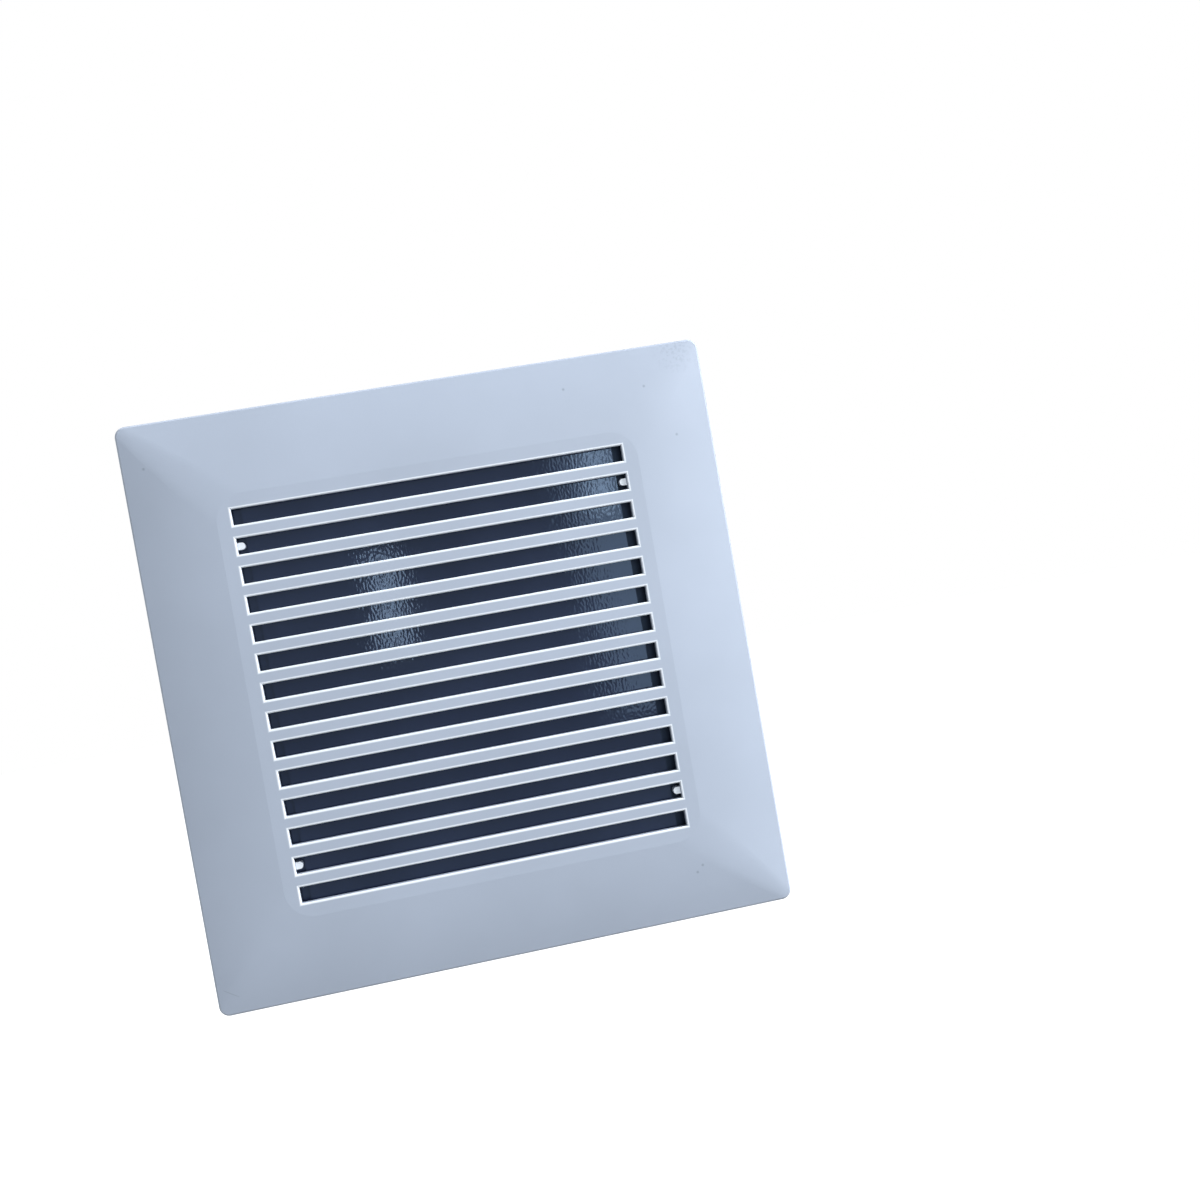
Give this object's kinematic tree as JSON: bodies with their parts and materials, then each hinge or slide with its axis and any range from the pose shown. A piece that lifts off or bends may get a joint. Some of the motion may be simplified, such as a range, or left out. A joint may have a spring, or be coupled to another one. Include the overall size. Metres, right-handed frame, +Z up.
{
  "type": "wall vent cap",
  "caption": "Square flat plastic wall vent cap with a slotted clip-on face, dark louvre insert behind the slots, and a round duct spigot held by steel spring clips.",
  "frame": {"origin": "on the spigot axis, in the wall plane that the back rim of the base rests on", "axes": "+X to the right and +Z up as seen from the front of the cap, +Y into the wall along the spigot; the face looks along -Y"},
  "size_m": [0.186, 0.0574, 0.186],
  "materials": {
    "face_plastic": "satin moulded",
    "insert_plastic": "satin moulded",
    "base_plastic": "satin moulded",
    "spring_steel": "rolled strip",
    "rivet_steel": "plain"
  },
  "bodies": {
    "base_body": {"base": "base_plastic", "louvre_insert": "insert_plastic", "spring_clip_top": "spring_steel", "spring_clip_left": "spring_steel", "spring_clip_right": "spring_steel", "clip_rivets": "rivet_steel"},
    "cover_body": {"face_cover": "face_plastic"}
  },
  "joints": [
    {"name": "cover_pull", "type": "slide", "parent": "base_body", "child": "cover_body", "axis": [0, -1, 0], "range_m": [0, 0.04]}
  ]
}
